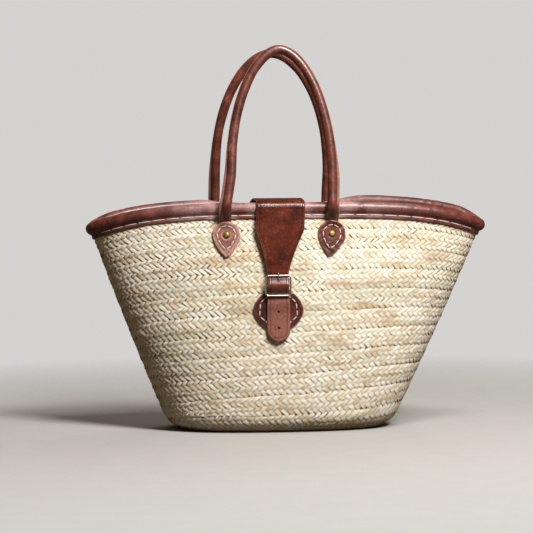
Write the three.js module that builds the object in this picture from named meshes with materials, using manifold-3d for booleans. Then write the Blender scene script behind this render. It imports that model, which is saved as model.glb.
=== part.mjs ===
// Market basket bag: a spiral of plaited palm leaf with a leather-bound rim, two rolled leather handles and
// a leather flap that buckles in front. Sizes are in millimetres. +Z is up, the front faces -Y and the bag
// stands on its base.

import * as THREE from 'three';
import { mergeVertices } from 'three/addons/utils/BufferGeometryUtils.js';
import Module from 'manifold-3d';

const wasm = await Module();
wasm.setup();

// Driving dimensions. gap is left between pieces that touch on the real bag.
const gap = 0.3;

// Plaited body, measured on the outside of the plait. Each side is half a length: where the wall starts, at
// the mouth, and how far it swells between them. The base and the mouth lie to the right of the handles by
// their leads, and the mouth droops at its ends and stands up at the back on both sides of the handle.
const plait = 5;
const bodyHeight = 288;
const endDrop = 25;
const dropPower = 1.5;
const cornerHeight = 24;
const lengthwise = { corner: 160, mouth: 262, bulge: 3 };
const depthwise = { corner: 88, mouth: 71, bulge: 9.7 };
const baseSquareness = 2.5;
const mouthSquareness = 2;
const baseLead = 6;
const mouthLead = 17.5;
const backRise = { left: 6, right: 11 };

// Rim: a round core on the plait's edge, under leather that is folded over it and sewn through the plait
const rimCoreRadius = 6.8;
const rimLeather = 1.6;
const rimFlange = 7;

// Handles: leather rolled round a rope, flat where they are sewn down. Each stands on two tabs. Rises and
// drops are from the plait's top edge, a reach is from the middle of the mouth, and a foot's spread is how far
// it stands outside the arch.
const rollRadius = 6.2;
const rollLeather = 1.7;
const rollEndHalfWidth = 7;
const rollEndHalfThickness = 2.4;
const rollFlatRun = 24;
const handleSeatGap = 0.8;
const hingeDrop = 5.5;
const frontHandle = { footSpread: [1, 4.5], archHalf: 66.5, archRise: 51, apexRise: 217, apexReach: 50, lean: 6 };
const backHandle = { footSpread: [-2, 1.5], archHalf: 77.5, archRise: 65, apexRise: 221, apexReach: 50, lean: 3 };
const archPower = 1.1;

// Tabs and their rivets
const tab = { radius: 18.5, tipRadius: 4, tipDrop: 25.5, thickness: 2.2, rivetDrop: 27.5 };
const rightTabTurn = -8;
const rivet = { headRadius: 4.3, headHeight: 2, shankRadius: 1.6, tail: 0.8 };
const washer = { radius: 5, thickness: 1 };

// Flap and strap. The anchor is the flap's sewn part, on the back of the bag.
const flapLeather = 2;
const flapMiddle = 4;
const flapHalfWidth = 32.2;
const flapCrown = 4;
const strapHalfWidth = 14;
const strapEndHalfWidth = 15.2;
const tongueParallelRun = 28;
const anchorDrop = 61;
const anchorCorner = 12;
const strapSlack = 0.7;
const strapLift = 0.7;
const strapTopRise = 17.5;
const strapTipDrop = 72.5;
const strapTipLength = 16;
const strapRamp = 13;
const strapHoleRadius = 1.6;
const strapHoleSpacing = 21;

// Buckle, on an oval patch. Heights are above the patch's centre.
const patch = { middle: -1.5, drop: 126, halfWidth: 33, halfHeight: 27.5, thickness: 1.6 };
const barHeight = 31.5;
const wire = 1.2;
const buckleHalfHeight = 13;
const buckleSideRoom = 0.8;
const buckleCorner = 3.2;
const loopHalfWidth = 7;
const loopLeather = 1.3;
const loopTail = 22;
const loopUnderBend = 7;
const loopOverBend = 9;
const prongRadius = 0.9;
const prongEyeHalfWidth = 1;
const prongEyeWall = 1.2;
const prongReach = 17;

const leatherRed = 0x6b2a20;
const palmLeaf = 0xd8cba4;
const rawCord = 0xb89a6a;
const brass = 0xb08a3c;
const nickel = 0xbfc2c6;

function material(color, roughness, metalness) {
  return new THREE.MeshStandardMaterial({ color, roughness, metalness });
}

const degrees = THREE.MathUtils.degToRad;
const bag = new THREE.Group();

// What swings is in a group whose place is its hinge
function pivotGroup(name, pivot, carrier = bag) {
  const group = new THREE.Group();
  group.name = name;
  group.position.copy(pivot);
  bag.add(group);
  carrier.attach(group);
  return group;
}

function add(name, geometry, color, roughness, metalness, carrier = bag, place = new THREE.Matrix4()) {
  const mesh = new THREE.Mesh(geometry, material(color, roughness, metalness));
  mesh.name = name;
  mesh.applyMatrix4(place);
  bag.add(mesh);
  carrier.attach(mesh);
}

// Skin over rings of points. A ring runs round the piece, and round x next-ring is outwards. With closed,
// the last ring joins the first, and otherwise a fan closes each end.
function loft(rings, closed) {
  const count = rings[0].length;
  const points = rings.flat();
  const index = [];
  const steps = closed ? rings.length : rings.length - 1;
  for (let i = 0; i < steps; i += 1) {
    const next = (i + 1) % rings.length;
    for (let j = 0; j < count; j += 1) {
      const k = (j + 1) % count;
      const corners = [i * count + j, i * count + k, next * count + k, next * count + j];
      index.push(corners[0], corners[1], corners[2], corners[0], corners[2], corners[3]);
    }
  }
  if (!closed) {
    for (const [ring, first, turned] of [[rings[0], 0, 1], [rings.at(-1), points.length - count, 0]]) {
      const middle = ring.reduce((sum, p) => sum.add(p), new THREE.Vector3()).divideScalar(count);
      const centre = points.push(middle) - 1;
      for (let j = 0; j < count; j += 1) {
        const pair = [first + j, first + ((j + 1) % count)];
        index.push(centre, pair[turned], pair[1 - turned]);
      }
    }
  }
  const geometry = new THREE.BufferGeometry().setFromPoints(points);
  geometry.setIndex(index);
  return geometry;
}

function solid(geometry) {
  const bare = geometry.clone();
  bare.deleteAttribute('normal');
  bare.deleteAttribute('uv');
  const merged = mergeVertices(bare, 1e-4);
  const vertProperties = Float32Array.from(merged.attributes.position.array);
  return new wasm.Manifold(
    new wasm.Mesh({ numProp: 3, vertProperties, triVerts: Uint32Array.from(merged.index.array) }),
  );
}

function geometryOf(body) {
  const mesh = body.getMesh();
  const geometry = new THREE.BufferGeometry();
  geometry.setAttribute('position', new THREE.BufferAttribute(mesh.vertProperties, 3));
  geometry.setIndex(new THREE.BufferAttribute(mesh.triVerts, 1));
  return geometry;
}

function rod(from, to, radius, sides) {
  const reach = to.clone().sub(from);
  const geometry = new THREE.CylinderGeometry(radius, radius, reach.length(), sides);
  geometry.applyQuaternion(
    new THREE.Quaternion().setFromUnitVectors(new THREE.Vector3(0, 1, 0), reach.clone().normalize()),
  );
  const middle = from.clone().add(to).multiplyScalar(0.5);
  return geometry.translate(middle.x, middle.y, middle.z);
}

// The body's outer surface. Its corner is an arc that runs into the wall's slope.
function halfSize(side, height) {
  const rise = bodyHeight - cornerHeight;
  const slope = (side.mouth - side.corner + 4 * side.bulge) / rise;
  if (height >= cornerHeight) {
    const t = (height - cornerHeight) / rise;
    return side.corner + (side.mouth - side.corner) * t + 4 * side.bulge * t * (1 - t);
  }
  const sweep = Math.atan2(1, slope);
  const radius = cornerHeight / (1 - Math.cos(sweep));
  return side.corner - radius * Math.sin(sweep) + Math.sqrt(radius ** 2 - (radius - height) ** 2);
}

function squareness(height) {
  return baseSquareness + (mouthSquareness - baseSquareness) * (height / bodyHeight);
}

function lead(height) {
  return baseLead + (mouthLead - baseLead) * (height / bodyHeight);
}

function mouthRise(c, s) {
  const rise = c < 0 ? backRise.left : backRise.right;
  return rise * THREE.MathUtils.smoothstep(Math.abs(c), 0.17, 0.45) * THREE.MathUtils.smoothstep(s, 0, 0.5);
}

function bodyPoint(height, turn, grow = 0) {
  const share = height / bodyHeight;
  const c = Math.cos(turn);
  const s = Math.sin(turn);
  const power = 2 / squareness(height);
  return new THREE.Vector3(
    lead(height) + (halfSize(lengthwise, height) + grow) * Math.sign(c) * Math.abs(c) ** power,
    (halfSize(depthwise, height) + grow) * Math.sign(s) * Math.abs(s) ** power,
    height + (mouthRise(c, s) - endDrop * c ** 4) * share ** dropPower,
  );
}

// Directions along, up and out of the surface at a point of the body
function bodyFrame(height, turn) {
  const step = 1e-3;
  const low = Math.max(height - step, 0);
  const point = bodyPoint(height, turn);
  const rise = bodyPoint(low + 2 * step, turn).sub(bodyPoint(low, turn)).normalize();
  const along = bodyPoint(height, turn + step).sub(bodyPoint(height, turn - step)).normalize();
  const out = new THREE.Vector3().crossVectors(along, rise).normalize();
  const up = new THREE.Vector3().crossVectors(out, along);
  return { point, along, up, out };
}

// A point off the body's surface: up along the wall and out of it
function offBody(height, turn, up, out) {
  const frame = bodyFrame(height, turn);
  return frame.point.addScaledVector(frame.up, up).addScaledVector(frame.out, out);
}

// Front and back of the bag face -Y and +Y
const front = -1;
const back = 1;

function turnAt(x, height, facing) {
  const offset = x - lead(height);
  const share = Math.abs(offset) / halfSize(lengthwise, height);
  const c = Math.sign(offset) * share ** (squareness(height) / 2);
  return facing * Math.acos(c);
}

// Seat on the wall: local x runs along it, y up it and z out of it
function seat(x, height, facing) {
  const frame = bodyFrame(height, turnAt(x, height, facing));
  return new THREE.Matrix4().makeBasis(frame.along, frame.up, frame.out).setPosition(frame.point);
}

const around = 56;
const turns = Array.from({ length: around }, (_, i) => (i / around) * 2 * Math.PI);
const cornerLevels = [0, 1, 2, 3, 4].map((i) => cornerHeight * (1 - Math.cos(degrees(22.5 * i))));
const wallSteps = 8;
const wallLevels = Array.from(
  { length: wallSteps },
  (_, i) => cornerHeight + ((bodyHeight - cornerHeight) * (i + 1)) / wallSteps,
);
const levels = [...cornerLevels, ...wallLevels];

// Rivet holes are drilled through the wall, so the seats of the tabs come first
const feetOf = (size) => [-size.archHalf - size.footSpread[0], size.archHalf + size.footSpread[1]];
const rivetHeight = bodyHeight - tab.rivetDrop;
const tabSeats = [
  ['front_left', feetOf(frontHandle)[0], front, 0],
  ['front_right', feetOf(frontHandle)[1], front, degrees(rightTabTurn)],
  ['back_left', feetOf(backHandle)[0], back, 0],
  ['back_right', feetOf(backHandle)[1], back, 0],
].map(([name, x, facing, turn]) => {
  const place = seat(x, rivetHeight, facing).multiply(new THREE.Matrix4().makeRotationZ(turn));
  return { name, place };
});

function outward(radius, from, to, sides) {
  return rod(new THREE.Vector3(0, 0, from), new THREE.Vector3(0, 0, to), radius, sides);
}

const rivetHole = outward(rivet.shankRadius + gap, -2 * plait, 2 * plait, 12);

// Coiled wall
const outerRings = levels.map((height) => turns.map((turn) => bodyPoint(height, turn)));
const innerRings = levels.map((height) => turns.map((turn) => offBody(height, turn, 0, -plait)));
const wallRings = [...outerRings, ...innerRings.reverse()];
const wall = tabSeats.reduce(
  (body, { place }) => body.subtract(solid(rivetHole.clone().applyMatrix4(place))),
  solid(loft(wallRings, true)),
);
add('basket_wall', geometryOf(wall), palmLeaf, 0.85, 0);

// Coiled base, inside the foot of the wall
const baseOutline = turns.map((turn) => bodyPoint(0, turn, -gap));
const baseTop = baseOutline.map((p) => p.clone().setZ(plait));
add('basket_base', loft([baseOutline, baseTop], false), palmLeaf, 0.85, 0);

// Rim. Sections are points out and up from the middle of the plait's top edge.
const rimCoreRise = rimCoreRadius + gap;
const rimInnerRadius = rimCoreRadius + gap;
const rimRadius = rimInnerRadius + rimLeather;
const flangeInner = plait / 2 + gap;
const flangeOuter = flangeInner + rimLeather;

function rimRings(section) {
  return section.map(([out, up]) => turns.map((turn) => offBody(bodyHeight, turn, up, out - plait / 2)));
}

// A circle round the core, from one foot up over the core to the other. Each foot lies on a face of the
// plait's side.
function rimArc(radius, foot, steps) {
  const sweep = Math.PI + 2 * foot;
  return Array.from({ length: steps + 1 }, (_, i) => {
    const angle = -foot + (sweep * i) / steps;
    return [radius * Math.cos(angle), rimCoreRise + radius * Math.sin(angle)];
  });
}

const innerFoot = Math.acos(flangeInner / rimInnerRadius);
const outerFoot = Math.acos(flangeOuter / rimRadius);
const outerSteps = 10;
const innerSteps = 9;
const coreSection = [...rimArc(rimCoreRadius, innerFoot, innerSteps), [0, rimCoreRise - rimCoreRadius]];
add('rim_core', loft(rimRings(coreSection), true), rawCord, 0.9, 0);

const bindingSection = [
  [flangeOuter, -rimFlange],
  ...rimArc(rimRadius, outerFoot, outerSteps),
  [-flangeOuter, -rimFlange],
  [-flangeInner, -rimFlange],
  ...rimArc(rimInnerRadius, innerFoot, innerSteps).reverse(),
  [flangeInner, -rimFlange],
];
add('rim_binding', loft(rimRings(bindingSection), true), leatherRed, 0.45, 0);

// Tabs, rivets and washers
const tabShape = new THREE.Shape();
const tabFlank = Math.asin((tab.radius - tab.tipRadius) / tab.tipDrop);
tabShape.absarc(0, 0, tab.radius, -tabFlank, Math.PI + tabFlank, false);
tabShape.absarc(0, -tab.tipDrop, tab.tipRadius, Math.PI + tabFlank, 2 * Math.PI - tabFlank, false);
const tabPlate = new THREE.ExtrudeGeometry(tabShape, {
  depth: tab.thickness,
  bevelEnabled: false,
  curveSegments: 8,
});
const tabGeometry = geometryOf(solid(tabPlate.translate(0, 0, gap)).subtract(solid(rivetHole)));

const headSeat = gap + tab.thickness + gap;
const washerSeat = -plait - 2 * gap;
const tailEnd = washerSeat - washer.thickness - rivet.tail;
const headArc = [0, 30, 60, 90].map(
  (angle) => new THREE.Vector2(
    rivet.headRadius * Math.cos(degrees(angle)),
    headSeat + rivet.headHeight * Math.sin(degrees(angle)),
  ),
);
const rivetProfile = [
  new THREE.Vector2(0, tailEnd),
  new THREE.Vector2(rivet.shankRadius, tailEnd),
  new THREE.Vector2(rivet.shankRadius, headSeat),
  ...headArc.slice(0, -1),
  new THREE.Vector2(0, headSeat + rivet.headHeight),
];
const rivetGeometry = new THREE.LatheGeometry(rivetProfile, 12).rotateX(Math.PI / 2);
const washerPlate = outward(washer.radius, washerSeat - washer.thickness, washerSeat, 12);
const washerGeometry = geometryOf(solid(washerPlate).subtract(solid(rivetHole)));

for (const { name, place } of tabSeats) {
  add(`${name}_tab`, tabGeometry, leatherRed, 0.55, 0, bag, place);
  add(`${name}_rivet`, rivetGeometry, brass, 0.35, 1, bag, place);
  add(`${name}_washer`, washerGeometry, brass, 0.4, 1, bag, place);
}

// Handles. The hinge lies just outside the binding's flange, and the roll passes just outside the rim.
function reachOf(x, height, up, out, facing) {
  return Math.abs(offBody(height, turnAt(x, height, facing), up, out).y);
}

function handleCurve(size, facing) {
  const feet = feetOf(size);
  const hingeHeight = bodyHeight - hingeDrop;
  const archStart = bodyHeight + size.archRise;
  const apex = bodyHeight + size.apexRise;
  const hingeOut = flangeOuter - plait / 2 + handleSeatGap + rollEndHalfThickness;
  const hingeReach = Math.max(...feet.map((x) => reachOf(x, hingeHeight, 0, hingeOut, facing)));
  const rimReach = Math.max(...feet.map((x) => reachOf(x, bodyHeight, rimCoreRise, -plait / 2, facing)));
  const passReach = rimReach + rimRadius + gap + rollRadius;
  const passHeight = offBody(bodyHeight, turnAt(feet[1], bodyHeight, facing), rimCoreRise, 0).z;
  const reachAt = (height) => {
    const share = (height - passHeight) / (apex - passHeight);
    return facing * (passReach + (size.apexReach - passReach) * share);
  };
  const middle = (passHeight + archStart) / 2;
  const legs = [-1, 1].map((side, i) => {
    const foot = feet[i];
    return [
      new THREE.Vector3(foot, facing * hingeReach, hingeHeight),
      new THREE.Vector3(foot, reachAt(passHeight), passHeight),
      new THREE.Vector3((foot + size.lean + side * size.archHalf) / 2, reachAt(middle), middle),
    ];
  });
  const archSteps = 12;
  const arch = Array.from({ length: archSteps + 1 }, (_, i) => {
    const angle = Math.PI * (1 - i / archSteps);
    const height = archStart + (apex - archStart) * Math.sin(angle);
    const side = Math.sign(Math.cos(angle)) * Math.abs(Math.cos(angle)) ** archPower;
    return new THREE.Vector3(size.lean + size.archHalf * side, reachAt(height), height);
  });
  return new THREE.CatmullRomCurve3([...legs[0], ...arch, ...legs[1].reverse()], false, 'centripetal');
}

// The cover and its rope are cut across at the same places along the curve
const rollSides = 10;
const rollSteps = 36;

function crossSection(curve, step, shift, halfWidth, halfThickness) {
  const tangent = curve.getTangentAt(step / rollSteps);
  const centre = curve.getPointAt(step / rollSteps).addScaledVector(tangent, shift);
  const side = new THREE.Vector3(0, 1, 0).cross(tangent).normalize();
  const thick = new THREE.Vector3().crossVectors(tangent, side);
  return Array.from({ length: rollSides }, (_, i) => {
    const angle = (2 * Math.PI * i) / rollSides;
    return centre
      .clone()
      .addScaledVector(side, halfWidth * Math.cos(angle))
      .addScaledVector(thick, halfThickness * Math.sin(angle));
  });
}

function handleCover(curve) {
  const length = curve.getLength();
  const rounding = rollEndHalfThickness;
  const outer = [];
  const inner = [];
  for (let step = 0; step <= rollSteps; step += 1) {
    const fromEnd = (Math.min(step, rollSteps - step) / rollSteps) * length;
    const round = THREE.MathUtils.smoothstep(fromEnd, 0, rollFlatRun);
    const halfWidth = THREE.MathUtils.lerp(rollEndHalfWidth, rollRadius, round);
    const halfThickness = THREE.MathUtils.lerp(rollEndHalfThickness, rollRadius, round);
    const cap = [halfWidth - rollLeather / 2, halfThickness / 2];
    const bore = [halfWidth - rollLeather, halfThickness - rollLeather];
    const shift = { 0: -rounding, [rollSteps]: rounding }[step] ?? 0;
    if (step === 0) {
      outer.push(crossSection(curve, step, shift, ...cap));
    }
    outer.push(crossSection(curve, step, 0, halfWidth, halfThickness));
    if (step === rollSteps) {
      outer.push(crossSection(curve, step, shift, ...cap));
    }
    inner.unshift(crossSection(curve, step, shift, ...bore));
  }
  return loft([...outer, ...inner], true);
}

// The rope stops where the roll starts to flatten
function handleRope(curve) {
  const firstStep = Math.ceil((rollFlatRun / curve.getLength()) * rollSteps);
  const ropeRadius = rollRadius - rollLeather - gap;
  const rings = [];
  for (let step = firstStep; step <= rollSteps - firstStep; step += 1) {
    rings.push(crossSection(curve, step, 0, ropeRadius, ropeRadius));
  }
  return loft(rings, false);
}

for (const [name, size, facing] of [['front', frontHandle, front], ['back', backHandle, back]]) {
  const curve = handleCurve(size, facing);
  const handle = pivotGroup(`${name}_handle_hinge`, curve.getPoint(0).setX(0));
  add(`${name}_handle_cover`, handleCover(curve), leatherRed, 0.5, 0, handle);
  add(`${name}_handle_rope`, handleRope(curve), rawCord, 0.95, 0, handle);
}

// Strips of flat leather are swept in the local YZ plane, with x across them. A station is [y, z, half
// width].
function strip(stations, thickness) {
  const spots = stations.map(([y, z]) => new THREE.Vector3(0, y, z));
  const rings = stations.map(([, , halfWidth], i) => {
    const ahead = spots[Math.min(i + 1, spots.length - 1)];
    const tangent = ahead.clone().sub(spots[Math.max(i - 1, 0)]).normalize();
    const normal = new THREE.Vector3(1, 0, 0).cross(tangent).multiplyScalar(thickness / 2);
    return [[1, 1], [1, -1], [-1, -1], [-1, 1]].map(([across, face]) => spots[i]
      .clone()
      .addScaledVector(normal, face)
      .setX(across * halfWidth));
  });
  return loft(rings, false);
}

// Flap, in the stretches that stay stiff and those that bend. It lies on both rolls of the rim and over the
// mouth.
function rollMiddle(facing) {
  const roll = offBody(bodyHeight, turnAt(flapMiddle, bodyHeight, facing), rimCoreRise, -plait / 2);
  return roll.setX(flapMiddle);
}

const frontRoll = rollMiddle(front);
const backRoll = rollMiddle(back);
const bendRadius = rimRadius + gap + flapLeather / 2;
const flapBase = frontRoll.z + bendRadius;
const flapStart = new THREE.Vector3(flapMiddle, backRoll.y + bendRadius, backRoll.z);
const flapEnd = new THREE.Vector3(flapMiddle, frontRoll.y - bendRadius, frontRoll.z);

function fold(roll, facing) {
  const steps = 6;
  const trim = gap / bendRadius;
  return strip(
    Array.from({ length: steps + 1 }, (_, i) => {
      const angle = trim + ((Math.PI / 2 - 2 * trim) * i) / steps;
      const reach = roll.y + facing * bendRadius * Math.cos(angle);
      return [reach, roll.z + bendRadius * Math.sin(angle), flapHalfWidth];
    }),
    flapLeather,
  ).translate(flapMiddle, 0, 0);
}

const flapSteps = 10;
const flapStations = Array.from({ length: flapSteps + 1 }, (_, i) => {
  const share = (2 * i) / flapSteps - 1;
  return [share * (backRoll.y - gap), flapBase + flapCrown * (1 - share ** 2), flapHalfWidth];
});
const flap = pivotGroup('flap_hinge', flapStart);
add('flap_top', strip(flapStations, flapLeather).translate(flapMiddle, 0, 0), leatherRed, 0.4, 0, flap);
add('flap_rear_fold', fold(backRoll, back), leatherRed, 0.4, 0, flap);
add('flap_front_fold', fold(frontRoll, front), leatherRed, 0.4, 0, flap);

// A flat plate of leather that runs down to a foot from the height and reach of a point above it. Its
// outline is measured from the foot.
function plate(shape, top, foot, facing) {
  const up = top.clone().sub(foot).setX(0).normalize();
  const along = new THREE.Vector3(-facing, 0, 0);
  const out = new THREE.Vector3().crossVectors(along, up);
  const place = new THREE.Matrix4().makeBasis(along, up, out).setPosition(foot);
  const geometry = new THREE.ExtrudeGeometry(shape, {
    depth: flapLeather,
    bevelEnabled: false,
    curveSegments: 8,
  });
  return geometry.translate(0, 0, -flapLeather / 2).applyMatrix4(place);
}

const anchorHeight = bodyHeight - anchorDrop;
const anchorTurn = turnAt(flapMiddle, anchorHeight, back);
const anchorFoot = offBody(anchorHeight, anchorTurn, 0, gap + flapLeather / 2).setX(flapMiddle);
const anchorLength = flapStart.distanceTo(anchorFoot) - gap;
const anchorShape = new THREE.Shape();
anchorShape.absarc(flapHalfWidth - anchorCorner, anchorCorner, anchorCorner, -Math.PI / 2, 0, false);
anchorShape.lineTo(flapHalfWidth, anchorLength);
anchorShape.lineTo(-flapHalfWidth, anchorLength);
anchorShape.absarc(anchorCorner - flapHalfWidth, anchorCorner, anchorCorner, Math.PI, 1.5 * Math.PI, false);
add('flap_anchor', plate(anchorShape, flapStart, anchorFoot, back), leatherRed, 0.45, 0);

// Buckle seat: local x runs along the wall, y up from the patch's centre and z out of the wall. From the
// wall outwards lie the patch, the loop's tail, the strap and the buckle's bottom bar.
const buckleSeat = seat(patch.middle, bodyHeight - patch.drop, front);
const patchFace = gap + patch.thickness;
const tailFace = patchFace + gap + 2 * loopLeather;
const strapUnder = tailFace + gap + flapLeather / 2;
const barOut = strapUnder + flapLeather / 2 + gap + strapSlack + wire;
const loopRadius = wire + gap + loopLeather;
const strapOver = barOut + loopRadius + gap + flapLeather / 2;
const strapOnPatch = patchFace + gap + flapLeather / 2;
const strapTop = barHeight + strapTopRise;
const barCentre = new THREE.Vector3(0, barHeight, barOut);

const patchShape = new THREE.Shape();
patchShape.absellipse(0, 0, patch.halfWidth, patch.halfHeight, 0, 2 * Math.PI, false, 0);
const patchPlate = new THREE.ExtrudeGeometry(patchShape, {
  depth: patch.thickness,
  bevelEnabled: false,
  curveSegments: 16,
});
add('buckle_patch', patchPlate.translate(0, 0, gap), leatherRed, 0.5, 0, bag, buckleSeat);

// The tongue hangs from the front fold to the strap, and narrows to the strap's width. Its outline is
// measured from the strap's top, and it leans to the flap, which lies a little to one side.
const strapHead = new THREE.Vector3(0, strapTop, strapUnder).applyMatrix4(buckleSeat);
const tongueLength = Math.hypot(flapEnd.y - strapHead.y, flapEnd.z - strapHead.z) - gap;
const tongueLean = flapMiddle - strapHead.x;
const shoulder = tongueLength - tongueParallelRun;
const spread = flapHalfWidth - strapHalfWidth;
const flank = [
  [strapHalfWidth, gap],
  [strapHalfWidth + 0.19 * spread, 0.33 * shoulder],
  [strapHalfWidth + 0.71 * spread, 0.79 * shoulder],
  [flapHalfWidth, shoulder],
];
const leant = (side, [halfWidth, height]) => [side * halfWidth + (tongueLean * height) / tongueLength, height];
const tongueShape = new THREE.Shape();
tongueShape.moveTo(...leant(-1, flank[0]));
tongueShape.lineTo(...leant(1, flank[0]));
tongueShape.bezierCurveTo(...flank.slice(1).flatMap((spot) => leant(1, spot)));
tongueShape.lineTo(...leant(1, [flapHalfWidth, tongueLength]));
tongueShape.lineTo(...leant(-1, [flapHalfWidth, tongueLength]));
tongueShape.lineTo(...leant(-1, flank[3]));
tongueShape.bezierCurveTo(...flank.slice(0, 3).reverse().flatMap((spot) => leant(-1, spot)));
const tongue = pivotGroup('tongue_hinge', frontRoll, flap);
add('flap_tongue', plate(tongueShape, flapEnd, strapHead, front), leatherRed, 0.4, 0, tongue);

// Prong: an eye round the centre bar and a pin that lies over the top bar
const prongLine = (height) => {
  const overTopBar = wire + gap + prongRadius;
  return new THREE.Vector3(0, barHeight + height, barOut + (overTopBar * height) / buckleHalfHeight);
};
const prongEyeRadius = wire + gap + prongEyeWall;
const across = (centre, halfWidth, radius, sides) => rod(
  centre.clone().setX(-halfWidth),
  centre.clone().setX(halfWidth),
  radius,
  sides,
);
const prong = solid(across(barCentre, prongEyeHalfWidth, prongEyeRadius, 14))
  .add(solid(rod(barCentre, prongLine(prongReach), prongRadius, 8)))
  .subtract(solid(across(barCentre, 2 * prongEyeHalfWidth, wire + gap, 14)));

// Frame: a rounded rectangle of wire with a bar across its middle
const wireSides = 8;
const buckleHalfWidth = strapHalfWidth + buckleSideRoom + wire;
const frameRings = [0, 1, 2, 3].flatMap((corner) => [0, 1, 2, 3, 4].map((step) => {
  const turn = degrees(90 * corner + 22.5 * step);
  const sideX = corner === 0 || corner === 3 ? 1 : -1;
  const sideY = corner < 2 ? 1 : -1;
  const normal = new THREE.Vector3(Math.cos(turn), Math.sin(turn), 0);
  const centre = barCentre.clone().addScaledVector(normal, buckleCorner);
  centre.x += sideX * (buckleHalfWidth - buckleCorner);
  centre.y += sideY * (buckleHalfHeight - buckleCorner);
  return Array.from({ length: wireSides }, (_, i) => centre
    .clone()
    .addScaledVector(normal, wire * Math.cos((2 * Math.PI * i) / wireSides))
    .add(new THREE.Vector3(0, 0, -wire * Math.sin((2 * Math.PI * i) / wireSides))));
}));
const frame = solid(loft(frameRings, true)).add(solid(across(barCentre, buckleHalfWidth, wire, wireSides)));
const buckle = pivotGroup('buckle_hinge', barCentre.clone().applyMatrix4(buckleSeat));
add('buckle_frame', geometryOf(frame), nickel, 0.2, 1, buckle, buckleSeat);
add('buckle_prong', geometryOf(prong), nickel, 0.2, 1, buckle, buckleSeat);

// Loop: leather round the centre bar, slotted for the prong, with both ends sewn to the patch as one tail
const loopShape = new THREE.Shape();
const tangentTurn = (start, face, side) => {
  const reach = Math.hypot(start, barOut - face);
  return Math.atan2(barOut - face, start) + side * (Math.asin(loopRadius / reach) + Math.PI / 2);
};
const underFace = patchFace + gap;
loopShape.moveTo(-loopTail, underFace);
loopShape.lineTo(-loopUnderBend, underFace);
loopShape.absarc(
  0,
  barOut,
  loopRadius,
  tangentTurn(loopUnderBend, underFace, -1),
  tangentTurn(loopOverBend, tailFace, 1),
  false,
);
loopShape.lineTo(-loopOverBend, tailFace);
loopShape.lineTo(-loopTail, tailFace);
const loopSides = new THREE.ExtrudeGeometry(loopShape, {
  depth: 2 * loopHalfWidth,
  bevelEnabled: false,
  curveSegments: 12,
});
const sideways = new THREE.Matrix4()
  .makeBasis(new THREE.Vector3(0, 1, 0), new THREE.Vector3(0, 0, 1), new THREE.Vector3(1, 0, 0))
  .setPosition(-loopHalfWidth, barHeight, 0);
const slotReach = prongEyeRadius + gap;
const slot = new THREE.BoxGeometry(2 * (prongEyeHalfWidth + gap), 2 * slotReach, 4 * slotReach);
slot.translate(0, barHeight, barOut);
const loop = solid(loopSides.applyMatrix4(sideways))
  .subtract(solid(across(barCentre, 2 * loopHalfWidth, wire + gap, 14)))
  .subtract(solid(slot));
add('buckle_loop', geometryOf(loop), leatherRed, 0.55, 0, bag, buckleSeat);

// Strap end: under the top bar, over the loop and the centre bar, under the bottom bar and down over the
// patch
const strapCurve = new THREE.CatmullRomCurve3(
  [
    [strapTop, strapUnder],
    [barHeight + buckleHalfHeight + wire, strapUnder],
    [barHeight, strapOver],
    [barHeight - buckleHalfHeight - wire, strapUnder],
    [barHeight - loopTail - wire, strapUnder],
    [barHeight - loopTail - strapRamp, strapOnPatch + strapLift],
    [barHeight - strapTipDrop, strapOnPatch + strapLift],
  ].map(([y, z]) => new THREE.Vector3(0, y, z)),
  false,
  'centripetal',
);
const strapLength = strapCurve.getLength();
const strapSteps = 38;
const strapStations = Array.from({ length: strapSteps + 1 }, (_, i) => {
  const spot = strapCurve.getPointAt(i / strapSteps);
  const fromTip = strapLength * (1 - i / strapSteps);
  const round = Math.min(fromTip / strapTipLength, 1);
  const below = THREE.MathUtils.smoothstep(barHeight - buckleHalfHeight - wire - gap - spot.y, 0, strapRamp);
  const halfWidth = THREE.MathUtils.lerp(strapHalfWidth, strapEndHalfWidth, below);
  return [spot.y, spot.z, halfWidth * Math.max(Math.sqrt(1 - (1 - round) ** 2), 0.25)];
});
const punches = [0, 1, 2].map((i) => {
  const height = barHeight - buckleHalfHeight - i * strapHoleSpacing;
  return rod(new THREE.Vector3(0, height, 0), new THREE.Vector3(0, height, 2 * barOut), strapHoleRadius, 12);
});
punches.push(rod(prongLine(0), prongLine(2 * prongReach), prongRadius + gap, 12));
const strapEnd = punches.reduce(
  (body, punch) => body.subtract(solid(punch)),
  solid(strip(strapStations, flapLeather)),
);
add('strap_end', geometryOf(strapEnd), leatherRed, 0.6, 0, tongue, buckleSeat);

// The origin lies under the middle of the whole bag
const extent = new THREE.Box3().setFromObject(bag, true);
const middle = extent.getCenter(new THREE.Vector3());
bag.position.set(-middle.x, -middle.y, -extent.min.z);

export default bag;
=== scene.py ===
import math

import bmesh
import bpy
import numpy as np
from mathutils import Matrix, Vector, noise


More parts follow.
